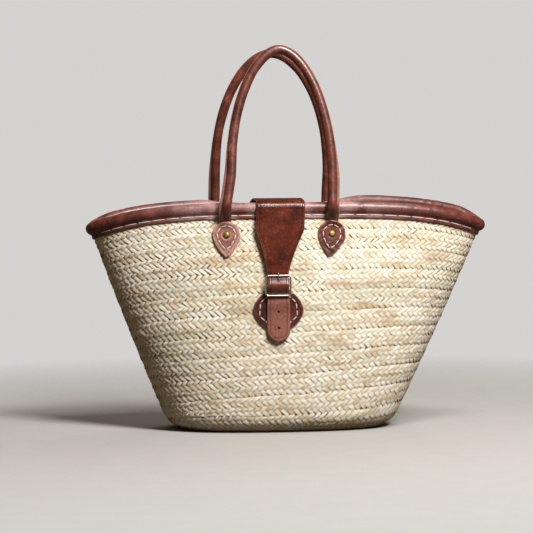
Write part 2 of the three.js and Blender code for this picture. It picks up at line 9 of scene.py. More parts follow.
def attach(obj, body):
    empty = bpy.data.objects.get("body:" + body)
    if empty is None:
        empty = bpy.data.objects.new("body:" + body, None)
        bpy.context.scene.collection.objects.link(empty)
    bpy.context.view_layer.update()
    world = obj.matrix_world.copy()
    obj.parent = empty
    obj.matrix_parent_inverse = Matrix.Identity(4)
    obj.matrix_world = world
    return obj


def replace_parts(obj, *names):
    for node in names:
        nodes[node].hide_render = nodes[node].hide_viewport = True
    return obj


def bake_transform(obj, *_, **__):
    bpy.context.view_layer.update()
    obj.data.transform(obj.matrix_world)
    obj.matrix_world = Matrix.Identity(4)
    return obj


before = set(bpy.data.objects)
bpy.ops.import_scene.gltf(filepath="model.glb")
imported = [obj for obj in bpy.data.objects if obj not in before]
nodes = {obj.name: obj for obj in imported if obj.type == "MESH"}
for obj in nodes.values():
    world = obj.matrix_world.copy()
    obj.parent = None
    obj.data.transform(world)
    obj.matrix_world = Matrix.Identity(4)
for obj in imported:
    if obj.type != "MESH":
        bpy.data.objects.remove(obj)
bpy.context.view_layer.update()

# View and stage. The bag stands on a pale floor, seen square on from just above its base, and is lit as by a
# high window on the right: one soft lamp there, with weaker ones overhead and behind.
view_turn = math.radians(-4)
view_rise = math.radians(1.5)
view_roll = math.radians(0.6)
view_distance = 2.5
view_aim = (-0.0285, 0, 0.217)
focal_pixels = 1850
picture_pixels = 533
sensor_width = 36

camera = bpy.data.objects.new("view_camera", bpy.data.cameras.new("view_camera"))
camera.data.sensor_width = sensor_width
camera.data.lens = sensor_width * focal_pixels / picture_pixels
camera.matrix_world = (
    Matrix.Translation(view_aim) @ Matrix.Rotation(view_turn, 4, "Z")
    @ Matrix.Rotation(math.pi / 2 - view_rise, 4, "X") @ Matrix.Rotation(-view_roll, 4, "Z")
    @ Matrix.Translation((0, 0, view_distance))
)
bpy.context.scene.collection.objects.link(camera)
bpy.context.scene.camera = camera


def lamp(name, place, aim, width, watts, colour):
    data = bpy.data.lights.new(name, "AREA")
    data.size = width
    data.energy = watts
    data.color = colour
    made = bpy.data.objects.new(name, data)
    made.location = place
    made.rotation_euler = (Vector(aim) - Vector(place)).to_track_quat("-Z", "Y").to_euler()
    bpy.context.scene.collection.objects.link(made)
    return made


lamp("window_lamp", (0.95, -1.75, 2.2), (0, 0, 0.22), 0.7, 88, (1.0, 0.995, 0.99))
lamp("overhead_lamp", (0.35, -1.0, 2.1), (0, 0, 0.25), 0.6, 30, (1.0, 0.995, 0.99))
back_lamp = lamp("back_lamp", (0.7, 1.8, 2.4), (0, 0, 0.2), 2.0, 26, (1.0, 0.98, 0.95))
back_lamp.visible_glossy = False
bpy.context.scene.view_settings.view_transform = "Standard"

world = bpy.data.worlds.new("pale_room")
world.use_nodes = True
room = world.node_tree.nodes
room_light = room["Background"]
room_light.inputs["Color"].default_value = (1.0, 0.71, 0.42, 1)
room_light.inputs["Strength"].default_value = 0.085
room_wall = room.new("ShaderNodeBackground")
room_wall.inputs["Color"].default_value = (0.66, 0.65, 0.635, 1)
seen_or_lit = room.new("ShaderNodeMixShader")
world.node_tree.links.new(room.new("ShaderNodeLightPath").outputs["Is Camera Ray"], seen_or_lit.inputs[0])
world.node_tree.links.new(room_light.outputs[0], seen_or_lit.inputs[1])
world.node_tree.links.new(room_wall.outputs[0], seen_or_lit.inputs[2])
world.node_tree.links.new(seen_or_lit.outputs[0], room["World Output"].inputs["Surface"])
bpy.context.scene.world = world

# Plaited body. Split dwarf palm leaf is plaited into one long flat braid of nine strands, over two and under
# two. The braid is coiled up from a flat oval base, and each round is laced to the one below with palm cord.
# Its outside follows the solid's own formula, in metres.
body_height = 0.288
corner_height = 0.024
end_drop = 0.025
drop_power = 1.5
lengthwise = (0.160, 0.262, 0.003)
depthwise = (0.088, 0.071, 0.0097)
base_lead = 0.006
mouth_lead = 0.0175
back_rise = (0.006, 0.011)
base_squareness = 2.5
mouth_squareness = 2.0
plait = 0.005
bag_middle = np.array((-0.017852, 0.005003, 0))
braid = 0.027
strand_step = 0.0084
strand_length = 0.0130
strand_width = 0.0062
strand_crown = 0.00022
strand_dive = 0.0010
strand_roll = 0.13
strand_skew = math.radians(13)
strand_slip = 0.0014
strand_stagger = 0.0009
strand_heave = 0.0003
strand_sink = 0.0003
row_waver = 0.0007
row_hang = 0.008
band_crown = 0.0005
backing_depth = 0.0010


def corner_sweep(side):
    corner, mouth, bulge = side
    slope = (mouth - corner + 4 * bulge) / (body_height - corner_height)
    sweep = math.atan2(1, slope)
    return sweep, corner_height / (1 - math.cos(sweep))


def half_size(side, height):
    corner, mouth, bulge = side
    sweep, radius = corner_sweep(side)
    t = (height - corner_height) / (body_height - corner_height)
    low = np.clip(height, 0, corner_height)
    foot = corner - radius * math.sin(sweep) + np.sqrt(radius**2 - (radius - low) ** 2)
    return np.where(t >= 0, corner + (mouth - corner) * t + 4 * bulge * t * (1 - t), foot)


def ease(value, low, high):
    t = np.clip((value - low) / (high - low), 0, 1)
    return t * t * (3 - 2 * t)


def squareness(height):
    return base_squareness + (mouth_squareness - base_squareness) * height / body_height


def lead(height):
    return base_lead + (mouth_lead - base_lead) * height / body_height


def xyz(*parts):
    """Points from their parts along x, y and z, or x and y alone."""
    return np.stack(np.broadcast_arrays(*parts), -1)


def body_point(height, turn, inwards=0):
    c, s = np.cos(turn), np.sin(turn)
    power = 2 / squareness(height)
    share = np.clip(height / body_height, 0, None)
    along = np.sign(c) * np.abs(c) ** power
    across = np.sign(s) * np.abs(s) ** power
    rise = np.where(c < 0, *back_rise) * ease(np.abs(c), 0.17, 0.45) * ease(s, 0, 0.5)
    return bag_middle + xyz(
        lead(height) + (half_size(lengthwise, height) - inwards) * along,
        (half_size(depthwise, height) - inwards) * across,
        height + (rise - end_drop * c**4) * share**drop_power,
    )


def unit(vectors):
    return vectors / np.maximum(np.linalg.norm(vectors, axis=-1, keepdims=True), 1e-12)


front_sweep, front_radius = corner_sweep(depthwise)
corner_run = front_sweep * front_radius
wall_run = 0.265
base_reach = float(half_size(depthwise, 0.0))


def plait_point(girth, turn):
    """A point of the outside, girth along the front from where the corner leaves the floor; less than 0 is base."""
    angle = np.clip(girth / front_radius, 0, front_sweep)
    hang = row_hang * np.cos(turn) * ease(girth, 0, 0.07) * (1 - ease(girth, 0.06, corner_run + wall_run))
    wall = np.clip(girth + hang - corner_run, 0, None) * (body_height - corner_height) / wall_run
    return body_point(front_radius * (1 - np.cos(angle)) + wall, turn, np.clip(-girth, 0, base_reach))


def plait_lift(girth, turn, lift):
    along = plait_point(girth, turn + 1e-3) - plait_point(girth, turn - 1e-3)
    rise = plait_point(girth + 1e-4, turn) - plait_point(girth - 1e-4, turn)
    out = np.where((girth <= 1e-4)[..., None], (0, 0, -1), unit(np.cross(along, rise)))
    return plait_point(girth, turn) + out * lift[..., None]


def reach_along(line):
    """How far along a line each of its points is."""
    return np.concatenate(([0], np.cumsum(np.linalg.norm(np.diff(line, axis=0), axis=1))))


coil_rounds = (corner_run + wall_run + base_reach) / braid + 2
coil_turn = np.linspace(0, 2 * math.pi * coil_rounds, int(4000 * coil_rounds))
coil_girth = braid * (coil_turn / (2 * math.pi) - 0.5) - base_reach
coil_length = reach_along(plait_point(coil_girth, coil_turn))


class Shade:
    """A socket of a material, so that shader maths is written as Python."""

    def __init__(self, tree, socket=None):
        self.tree = tree
        self.socket = socket

    def node(self, kind, settings, values, output=0):
        made = self.tree.nodes.new("ShaderNode" + kind)
        stops = settings.pop("stops", ())
        for name, setting in settings.items():
            setattr(made, name, setting)
        for i, (place, colour) in enumerate(stops):
            stop = made.color_ramp.elements[i] if i < 2 else made.color_ramp.elements.new(place)
            stop.position = place
            stop.color = (*colour, 1)
        for name, value in values.items():
            if isinstance(value, Shade):
                self.tree.links.new(value.socket, made.inputs[name])
            else:
                made.inputs[name].default_value = value
        return Shade(self.tree, made.outputs[output])

    def maths(self, operation, *values):
        return self.node("Math", {"operation": operation}, dict(enumerate(values)))

    def __add__(self, other):
        return self.maths("ADD", self, other)

    def __sub__(self, other):
        return self.maths("SUBTRACT", self, other)

    def __rsub__(self, other):
        return self.maths("SUBTRACT", other, self)

    def __mul__(self, other):
        return self.maths("MULTIPLY", self, other)

    def __abs__(self):
        return self.maths("ABSOLUTE", self)

    __radd__ = __add__
    __rmul__ = __mul__


def finish(name):
    """A new material, and the place on the object, which its nodes start from."""
    made = bpy.data.materials.new(name)
    made.use_nodes = True
    return made, Shade(made.node_tree).node("TexCoord", {}, {}, "Object")


def dress(made, **looks):
    """Ties shades to the sockets of a material's shader, or sets their numbers; an underscore is a space."""
    for name, look in looks.items():
        socket = made.node_tree.nodes["Principled BSDF"].inputs[name.replace("_", " ")]
        if isinstance(look, Shade):
            look.tree.links.new(look.socket, socket)
        else:
            socket.default_value = look


def between(mask, low, high):
    """mask's place between two levels, from 0 to 1."""
    return mask.node("MapRange", {}, {"Value": mask, "From Min": low, "From Max": high})


def tint(mask, first, second):
    """From the first colour to the second, by the mask."""
    first, second = (colour if isinstance(colour, Shade) else (*colour, 1) for colour in (first, second))
    return mask.node("Mix", {"data_type": "RGBA"}, {0: mask, 6: first, 7: second}, 2)


def mottle(place, scale, detail, roughness=0.5, output=0):
    noise_sockets = {"Vector": place, "Scale": scale, "Detail": detail, "Roughness": roughness}
    return place.node("TexNoise", {}, noise_sockets, output)


def relief(height, strength, distance):
    return height.node("Bump", {}, {"Strength": strength, "Distance": distance, "Height": height})


palm, here = finish("palm_leaf")
strand = here.node("Attribute", {"attribute_name": "strand"}, {}, "Vector")
strand_edge = abs(here.node("SeparateXYZ", {}, {"Vector": strand}, 1))
strand_own = here.node("SeparateXYZ", {}, {"Vector": strand}, 2)
fibre_place = here.node("VectorMath", {"operation": "MULTIPLY"}, {0: strand, 1: (70, 4.5, 90)})
fibres = between(mottle(fibre_place, 1.0, 3.0), 0.28, 0.72)
round_place = here.node("VectorMath", {"operation": "MULTIPLY"}, {0: here, 1: (1, 1, 3.5)})
patches = mottle(round_place, 9.0, 2.0)
stains = mottle(round_place, 17.0, 3.0)
leaf_colour = here.node("ValToRGB", {"stops": (
    (0.0, (0.43, 0.29, 0.16)),
    (1.0, (0.92, 0.885, 0.79)),
    (0.15, (0.68, 0.55, 0.35)),
    (0.34, (0.83, 0.75, 0.59)),
    (0.72, (0.88, 0.825, 0.705)),
)}, {"Fac": strand_own * 0.66 + fibres * 0.36})
leaf_colour = tint(between(patches, 0.53, 0.68) * 0.5, leaf_colour, (0.50, 0.51, 0.35))
leaf_colour = tint(between(stains, 0.55, 0.72) * 0.65, leaf_colour, (0.47, 0.31, 0.14))
# Painted shade: each strand is tinted tan-brown towards its edges, standing for the shade in the grooves between
# strands.
leaf_colour = tint(between(strand_edge, 0.6, 0.95) * (0.1 + fibres * 0.8), leaf_colour, (0.50, 0.32, 0.13))
dress(palm, Base_Color=leaf_colour, Normal=relief(fibres, 0.6, 0.0004), Roughness=0.5 + fibres * 0.2,
      Specular_IOR_Level=0.35)

# Painted shade: the sheet under the strands stands in for the hidden under-strands, and is coloured dark brown like
# the shade in the gaps between strands.
backing, here = finish("palm_backing")
gloom = mottle(here, 300.0, 2.0)
dress(backing, Base_Color=tint(gloom, (0.13, 0.072, 0.024), (0.36, 0.23, 0.09)), Roughness=0.9)


def placed(name, shape, material, slot):
    """Adds a finished bmesh as a smooth piece at the world's origin."""
    mesh = bpy.data.meshes.new(name)
    shape.to_mesh(mesh)
    shape.free()
    mesh.materials.clear()
    mesh.materials.append(material)
    mesh.polygons.foreach_set("use_smooth", np.ones(len(mesh.polygons), bool))
    made = bpy.data.objects.new(name, mesh)
    bpy.context.scene.collection.objects.link(made)
    return made if slot else made


def spots_of(made):
    spots = np.empty(3 * len(made.data.vertices), np.float32)
    made.data.vertices.foreach_get("co", spots)
    return spots.reshape(-1, 3).astype(float)


def freeze(made):
    """Takes what a piece's modifiers make of it as its mesh."""
    made.data = bpy.data.meshes.new_from_object(made.evaluated_get(bpy.context.evaluated_depsgraph_get()))
    made.modifiers.clear()


def repeated(name, shape, count, material, slot):
    """count copies of a small shape as one piece, and each copy's corners as an array to be put in place."""
    size = len(shape.verts)
    made = placed(name, shape, material, slot)
    copies = made.modifiers.new("copies", "ARRAY")
    copies.count = count
    copies.use_relative_offset = False
    freeze(made)
    return made, spots_of(made).reshape(count, size, 3)


def settle(made, spots):
    made.data.vertices.foreach_set("co", spots.reshape(-1).astype(np.float32))
    made.data.update()


def mark(made, name, values):
    """Keeps a value, or three, at each corner of a piece, for its material to read."""
    kind, key = ("FLOAT", "value") if np.ndim(values) == 1 else ("FLOAT_VECTOR", "vector")
    kept = made.data.attributes.new(name, kind, "POINT")
    kept.data.foreach_set(key, np.asarray(values, np.float32).reshape(-1))


def ripple(points, scale, seed):
    """Smooth uneven values from -1 to 1 over points in space."""
    shift = Vector((seed, 3.1 * seed, -1.7 * seed))
    return np.array([noise.noise(Vector(point) * scale + shift) for point in points]) * 1.6


chance = np.random.default_rng(11)
row_step = braid / 4
lean = math.atan2(row_step, strand_step)
strand_count = int(coil_length[-1] / strand_step)
strand_row = np.repeat(np.arange(4), strand_count)
strand_sense = np.where(strand_row % 2 == 0, -1, 1)
strand_place = (np.tile(np.arange(strand_count), 4) + 0.25 * strand_sense) * strand_step
strand_rise = (strand_row - 1.5) * row_step
strand_girth = np.interp(strand_place, coil_length, coil_girth) + strand_rise
strand_turn = np.interp(strand_place, coil_length, coil_turn)


def lay_plait(name, chosen, outside):
    """Strands of the braid where they lie on top, on the outside or the inside of the bag."""
    chosen = np.flatnonzero(chosen)
    count = len(chosen)
    shape = bmesh.new()
    bmesh.ops.create_grid(shape, x_segments=4, y_segments=4, size=0.5)
    rims = [edge for edge in shape.edges if edge.is_boundary]
    for edge in rims:
        edge.smooth = False
    bmesh.ops.contextual_create(shape, geom=rims)
    bmesh.ops.recalc_face_normals(shape, faces=shape.faces)
    made, spots = repeated(name, shape, count, palm, "palm_plait")
    own = chance.random((count, 8, 1))
    a = np.interp(spots[:, :, 0], (-0.5, -0.25, 0, 0.25, 0.5), (-0.5, -0.40, 0, 0.40, 0.5))
    b = np.interp(spots[:, :, 1], (-0.5, -0.25, 0, 0.25, 0.5), (-0.5, -0.41, 0, 0.41, 0.5))
    middles = plait_point(strand_girth[chosen], strand_turn[chosen])
    loose = np.clip(1.4 * ripple(middles * (0.6, 0.6, 2.6), 16.0, 3.0), 0, 1)[:, None] * own[:, 4]
    browned = np.clip(1.3 * ripple(middles * (0.5, 0.5, 5.0), 20.0, 7.0), 0, 1)[:, None]
    run = a * strand_length * (0.96 + 0.12 * own[:, 0]) + strand_slip * (own[:, 6] - 0.5)
    wide = b * strand_width * (0.89 + 0.18 * own[:, 1] - 0.38 * loose) * (1 - 0.1 * np.abs(2 * a) ** 4)
    crown = strand_crown * (1 - np.abs(2 * b) ** 4) - strand_dive * ease(np.abs(2 * a), 0.66, 1.0)
    crown = crown + strand_heave * (own[:, 2] - 0.7) - strand_roll * wide * (0.4 + 1.2 * own[:, 5])
    sense = strand_sense[chosen][:, None]
    if not outside:
        sense = -sense
    angle = lean + strand_skew * (own[:, 3] - 0.5)
    place = strand_place[chosen][:, None] + run * np.cos(angle) - wide * sense * np.sin(angle)
    rise = strand_rise[chosen][:, None] + run * sense * np.sin(angle) + wide * np.cos(angle)
    rise = rise + row_waver * ripple(middles, 24.0, 13.0)[:, None] + strand_stagger * (own[:, 7] - 0.5)
    girth = np.interp(place, coil_length, coil_girth) + rise
    turn = np.interp(place, coil_length, coil_turn)
    lift = crown + band_crown * (1 - (rise / (braid / 2)) ** 2) - strand_crown - strand_sink
    settle(made, plait_lift(girth, turn, lift if outside else -plait - lift))
    if not outside:
        made.data.flip_normals()
    tone = own[:, 4] * (1 - 0.9 * browned)
    mark(made, "strand", xyz(run, 2 * b, tone))
    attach(made, "basket")


inside_plait = (strand_girth > -base_reach + 0.001) & (strand_girth < corner_run + wall_run - 0.002)
on_base = strand_girth < 0
faces_front = np.sin(strand_turn) < 0
for side in ("outside", "inside"):
    for part, chosen in (("front", ~on_base & faces_front), ("back", ~on_base & ~faces_front), ("base", on_base)):
        lay_plait(f"plait_{part}_{side}", inside_plait & chosen, side == "outside")

# Shells just under the strands, in that painted shade, fill the gaps between them.
for node in ("basket_wall", "basket_base"):
    shell = bmesh.new()
    shell.from_mesh(nodes[node].data)
    bmesh.ops.remove_doubles(shell, verts=shell.verts, dist=1e-5)
    shell.normal_update()
    for corner in shell.verts:
        corner.co -= backing_depth * corner.normal
    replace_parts(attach(placed(node.replace("basket", "backing"), shell, backing, "palm_plait"), "basket"), node)

# Rim. Red-brown goat leather, glazed and crackled, is folded over a rope on the plait's edge and sewn through
# the plait under the roll with waxed white thread. It wrinkles where the mouth bends, and its ends meet at the
# front, on the right.
core_radius = 0.0068
touch = 0.0003
rim_leather = 0.0016
rim_flange = 0.007
rim_rise = core_radius + touch
rim_inner = core_radius + touch
rim_radius = rim_inner + rim_leather
flange_inner = plait / 2 + touch
flange_outer = flange_inner + rim_leather
rim_joint = -1.21
rim_stitch = 0.0193
thread_radius = 0.00065
thread_lift = 0.0001
uncut = 0.02


def wall_axes(height, turn):
    """A point of the body's outside, and the directions along, up and out of it there."""
    low = np.maximum(height - 1e-6, 0)
    point = body_point(height, turn)
    rise = unit(body_point(low + 2e-6, turn) - body_point(low, turn))
    along = unit(body_point(height, turn + 1e-6) - body_point(height, turn - 1e-6))
    out = unit(np.cross(along, rise))
    return point, along, np.cross(out, along), out


def off_wall(height, turn, up, out):
    point, along, upwards, outwards = wall_axes(height, turn)
    return point + upwards * np.asarray(up)[..., None] + outwards * np.asarray(out)[..., None]


def turn_at(x, height, facing):
    """The turn of the point whose distance from the handles' middle is x, on the front (-1) or the back (1)."""
    offset = x - lead(height)
    share = np.abs(offset) / half_size(lengthwise, height)
    return facing * np.arccos(np.sign(offset) * share ** (squareness(height) / 2))


def leather(name, deep, worn, gloss, glaze, glaze_softness):
    """Glazed goat leather: mottled, crackled and crinkled, scuffed pale, worn and creased along its cut edges, and
    paler where a piece is marked as handled, which is wear, and on the rim and the handles' fins also painted sheen.
    """
    made, here = finish(name)
    deep, worn = np.array(deep), np.array(worn)
    edge, wear_and_sheen = (
        here.node("Attribute", {"attribute_name": kept}, {}, "Fac") for kept in ("from_edge", "wear_and_sheen"))
    clouds = mottle(here, 55.0, 6.0, 0.65)
    drift = mottle(here, 220.0, 2.0, output="Color")
    drift = here.node("VectorMath", {"operation": "SCALE"}, {0: drift, "Scale": 0.0026})
    bent = here.node("VectorMath", {"operation": "ADD"}, {0: here, 1: drift})
    cracks = here.node("TexVoronoi", {"feature": "DISTANCE_TO_EDGE"}, {"Vector": bent, "Scale": 230.0})
    crinkles = abs(mottle(bent, 150.0, 3.0) - 0.5)
    pebbles = mottle(here, 1500.0, 2.0)
    scuffs = mottle(bent, 75.0, 6.0, 0.7)
    lines = abs(mottle(bent, 26.0, 1.0) - 0.5)
    scratched = (1 - between(lines, 0.0, 0.010)) * between(clouds, 0.52, 0.60)
    cracked = 1 - between(cracks, 0.0, 0.10)
    scuffed = between(scuffs, 0.58, 0.74)
    rubbed = 1 - between(edge, 0.0002, 0.0014)
    groove = 1 - between(abs(edge - 0.0042), 0.0003, 0.0011)
    colour = tint(between(clouds, 0.36, 0.66), 0.5 * deep, 1.8 * deep)
    # Pale where the piece is marked: wear from hands, and on the rim and the handles' fins also a painted highlight.
    colour = tint(wear_and_sheen, colour, tint(clouds, 0.7 * worn, 1.15 * worn))
    colour = tint(scuffed * 0.3 + scratched * 0.4, colour, worn)
    colour = tint(rubbed * 0.6, colour, worn)
    colour = tint(cracked * 0.45, colour, 0.35 * deep)
    colour = tint(groove * 0.55, colour, 0.4 * deep)
    height = pebbles * 0.05 + clouds * 0.5 - crinkles - cracked * 0.16 - groove * 0.25
    dress(made, Base_Color=colour, Normal=relief(height, 0.5, 0.0007),
          Roughness=gloss + scuffed * 0.15 + rubbed * 0.15 + wear_and_sheen * 0.2,
          Specular_IOR_Level=0.35, Coat_Weight=glaze, Coat_Roughness=glaze_softness)
    return made


rim_skin = leather("rim_leather", (0.120, 0.030, 0.021), (0.47, 0.26, 0.245), 0.38, 0.5, 0.34)

thread, here = finish("waxed_thread")
ply = mottle(here, 900.0, 2.0)
dress(thread, Base_Color=tint(ply, (0.52, 0.46, 0.40), (0.90, 0.87, 0.82)), Normal=relief(ply, 0.4, 0.0002),
      Roughness=0.55)


def sheet(stations, rows, place):
    """A grid, where place(i, j) gives the point of station i in row j."""
    shape = bmesh.new()
    bmesh.ops.create_grid(shape, x_segments=stations, y_segments=rows, size=0.5)
    share = np.array([corner.co[:2] for corner in shape.verts]) + 0.5
    for corner, point in zip(shape.verts, place(*np.rint(share * (stations, rows)).astype(int).T)):
        corner.co = point
    return shape


def swept(name, stations, rows, place, material, slot):
    """A sheet rolled up along a run. What place brings together is joined, and what it leaves open is closed."""
    shape = sheet(stations, rows, place)
    bmesh.ops.remove_doubles(shape, verts=shape.verts, dist=2e-6)
    bmesh.ops.holes_fill(shape, edges=[edge for edge in shape.edges if edge.is_boundary])
    bmesh.ops.recalc_face_normals(shape, faces=shape.faces)
    return placed(name, shape, material, slot)


def rim_arc(radius, flange, steps):
    """The roll's cross section, from one flange over to the other."""
    foot = math.acos(flange / radius)
    angle = -foot + (math.pi + 2 * foot) * np.arange(steps + 1) / steps
    return xyz(radius * np.cos(angle), rim_rise + radius * np.sin(angle))


rim_edge = np.array(((-0.0004, 0), (0, 0.0005), (0.0002, 0.002), (0, rim_flange - 0.0022))) + (
    flange_outer, -rim_flange)
rim_section = np.concatenate((
    rim_edge[1:], rim_arc(rim_radius, flange_outer, 26), (rim_edge * (-1, 1))[::-1], [(-flange_inner, -rim_flange)],
    rim_arc(rim_inner, flange_inner, 10)[::-1], [(flange_inner, -rim_flange)], rim_edge[:1],
))
rim_stations = 620


def hump(x, middle, width):
    return np.exp(-(((x - middle) / width) ** 2))


def rim_place(i, j):
    turn = 2 * math.pi * (i % rim_stations) / rim_stations
    out, up = rim_section[j % len(rim_section)].T
    flat = off_wall(body_height, turn, up, out - plait / 2)
    outside = ease(np.hypot(out, up - rim_rise), 0.0075, 0.0085)
    along = xyz(9 * np.cos(turn), 9 * np.sin(turn), 0)
    swell = ripple(along, 1.0, 2.0)
    folds = np.clip(ripple(flat * (1, 1, 0.35), 130.0, 5.0), -1, 0.2) * ease(ripple(along, 0.8, 9.0), -0.5, 0.4)
    joint = hump(turn - 2 * math.pi, rim_joint, 0.006)
    press = hump(up, -0.0024, 0.0012) * (np.abs(out) > flange_outer - 1e-6)
    crumple = ripple(flat, 260.0, 7.0)
    dent = outside * (0.0003 * swell + 0.00008 * crumple + 0.0005 * folds - 0.0009 * joint) - 0.0004 * press
    middle = off_wall(body_height, turn, rim_rise, -plait / 2)
    return flat + unit(flat - middle) * dent[:, None]


rim = swept("rim_binding_leather", rim_stations, len(rim_section), rim_place, rim_skin, "rim_leather")
spots = spots_of(rim)
mark(rim, "from_edge", np.full(len(spots), uncut))
# Pale patches on the rim beside the handles: partly wear from hands, partly a painted sheen along the roll, in the
# rim's cool pink-grey worn colour.
wear_and_sheen_beside_handles = hump(np.abs(spots[:, 0] - bag_middle[0]), 0.065, 0.07)
mark(rim, "wear_and_sheen", wear_and_sheen_beside_handles * ease(ripple(spots * (1, 1, 1.5), 45.0, 4.0), -0.8, 0.4))
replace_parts(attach(rim, "basket"), "rim_binding")


def stitches(name, starts, ends, lift, body):
    """Stitches of waxed thread from each start to its end. lift is the way out of the leather."""
    shape = bmesh.new()
    bmesh.ops.create_uvsphere(shape, u_segments=8, v_segments=6, radius=1)
    bmesh.ops.rotate(shape, verts=shape.verts, cent=(0, 0, 0), matrix=Matrix.Rotation(math.pi / 2, 3, "Y"))
    made, spots = repeated(name, shape, len(starts), thread, None)
    blunt = np.sign(spots[..., :1]) * np.abs(spots[..., :1]) ** 0.55
    half = (ends - starts)[:, None] / 2
    lift = unit(np.broadcast_to(lift, starts.shape))[:, None]
    across = unit(np.cross(lift, half)) * thread_radius
    points = (starts + ends)[:, None] / 2 + half * blunt + across * spots[..., 1:2]
    settle(made, points + lift * thread_radius * (spots[..., 2:] - 0.9 * np.abs(blunt) ** 4))
    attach(made, body)


def points_at(line, reach, at):
    """The points of a line that are so far along it."""
    return np.stack([np.interp(at, reach, part) for part in line.T], -1)


rim_line_turn = np.linspace(0, 2 * math.pi, 6001)
for side, face, drop in (("outside", 1, 0.0025), ("inside", -1, 0.0045)):
    line = off_wall(body_height, rim_line_turn, -drop, face * (flange_outer + thread_lift) - plait / 2)
    reach = reach_along(line)
    count = round(reach[-1] / rim_stitch)
    middles = np.arange(count) * reach[-1] / count
    half = 0.485 * reach[-1] / count
    starts, ends = (points_at(line, reach, (middles + step) % reach[-1]) for step in (-half, half))
    lift = face * wall_axes(body_height, np.interp(middles, reach, rim_line_turn))[3]
    stitches(f"rim_stitches_{side}", starts, ends, lift, "basket")

# Tabs. Four drop-shaped leathers are sewn over the handles' ends, and a brass rivet with a washer behind it goes
# through each and through the plait.
tab_radius = 0.0185
tab_tip_radius = 0.004
tab_tip_drop = 0.0255
tab_thickness = 0.0022
tab_flank = math.asin((tab_radius - tab_tip_radius) / tab_tip_drop)
flank_swell = 0.0009
tab_waver = 0.0004
small_stitch = 0.0088
upper_rings = (0.93, 0.86, 0.80, 0.74, 0.69, 0.65, 0.61, 0.55, 0.48, 0.42, 0.37, 0.33, 0.29, 0.25, 0.2, 0.1)
rivet_height = body_height - 0.0275
tabs = {
    "front_left": (-0.0675, -1, 0, 0.95),
    "front_right": (0.071, -1, math.radians(-8), 0.0),
    "back_left": (-0.0755, 1, 0, 0.3),
    "back_right": (0.079, 1, 0, 0.2),
}
tab_skin = leather("tab_leather", (0.13, 0.033, 0.017), (0.56, 0.28, 0.22), 0.34, 0.25, 0.2)


def drop_outline(count):
    angle = np.linspace(-tab_flank, math.pi + tab_flank, 3 * count // 5)
    crown = xyz(tab_radius * np.cos(angle), tab_radius * np.sin(angle))
    angle = np.linspace(math.pi + tab_flank, 2 * math.pi - tab_flank, count // 5)
    tip = xyz(tab_tip_radius * np.cos(angle), tab_tip_radius * np.sin(angle) - tab_tip_drop)
    share = np.linspace(0, 1, count // 10 + 2)[1:-1, None]
    swell = flank_swell * 4 * share * (1 - share) * (math.cos(tab_flank), -math.sin(tab_flank))
    left = crown[-1] + (tip[0] - crown[-1]) * share + swell * (-1, 1)
    right = tip[-1] + (crown[0] - tip[-1]) * share + swell
    return np.concatenate((crown, left, tip, right))


def wall_seat(x, height, facing, turned=0):
    """A place on the wall, as its point and the directions across, up and out of it."""
    point, along, up, out = wall_axes(height, turn_at(x, height, facing))
    spin = Matrix.Rotation(turned, 3, Vector(out))
    return point, np.array(spin @ Vector(along)), np.array(spin @ Vector(up)), out


def on_seat(seat, spots):
    """The points in space of spots that are given across, up and out of a seat."""
    return seat[0] + np.asarray(spots, float) @ np.stack(seat[1:])


def seat_place(seat, made):
    """How far across and up a seat a piece's corners are."""
    return (spots_of(made) - seat[0]) @ np.stack(seat[1:3], -1)


def plate(name, outline, thickness, lift, seat, material, slot):
    """A cut plate of leather, in rings round its middle. A ring is its size, its draw in from the cut, its height
    and its share of lift(x, y), which is what the upper face stands proud."""
    top = touch + thickness
    size, draw, height, upper = np.array((
        (0, 0, touch, 0), (0.9, 0, touch, 0), (1, 0.0004, touch, 0), (1, 0, touch + 0.0005, 0),
        (1, 0, top - 0.0008, 0.5), (1, 0.0003, top - 0.0003, 1), (1, 0.0009, top, 1),
        *((size, 0.0009, top, 1) for size in upper_rings), (0, 0, top, 1),
    )).T

    def place(i, j):
        i = i % len(outline)
        x, y = (outline[i] * size[j][:, None] - unit(outline[i]) * draw[j][:, None]).T
        return on_seat(seat, xyz(x, y, height[j] + upper[j] * lift(x, y)))

    made = swept(name, len(outline), len(size) - 1, place, material, slot)
    step = np.roll(outline, -1, 0) - outline
    toward = seat_place(seat, made)[:, None] - outline[None]
    share = np.clip((toward * step).sum(-1) / (step**2).sum(-1), 0, 1)
    mark(made, "from_edge", np.linalg.norm(toward - share[..., None] * step, axis=-1).min(1))
    return made


def sewn(name, lines, seat, lift):
    """Small stitches along lines on a seat. They lie at lift(x, y)."""
    starts, ends = [], []
    for line in lines:
        reach = reach_along(line)
        count = round(reach[-1] / small_stitch)
        for share, spots in ((0.07, starts), (0.93, ends)):
            x, y = points_at(line, reach, (np.arange(count) + share) * reach[-1] / count).T
            spots.extend(on_seat(seat, xyz(x, y, lift(x, y) + thread_lift)))
    stitches(name, np.array(starts), np.array(ends), seat[3], "basket")


def tab_lift(x, y):
    """What a tab's face stands proud: it bulges over the handle's end and is pressed in round the rivet."""
    bulge = np.exp(-((x / 0.0078) ** 4)) * ease(y, 0.009, 0.0155)
    pressed = hump(np.hypot(x, y), 0.0050, 0.0007)
    waves = np.sin(420 * x + 3 * np.sin(300 * y)) * ease(np.hypot(x, y), 0.009, 0.016)
    return 0.0024 * bulge - 0.0004 * pressed + 0.00025 * waves + 0.0003


brass, here = finish("brass")
tarnish = mottle(here, 420.0, 4.0)
dress(brass, Base_Color=tint(between(tarnish, 0.40, 0.64), (0.44, 0.34, 0.10), (0.17, 0.11, 0.03)),
      Roughness=0.42 + tarnish * 0.3, Normal=relief(tarnish, 0.25, 0.0003), Metallic=1.0)


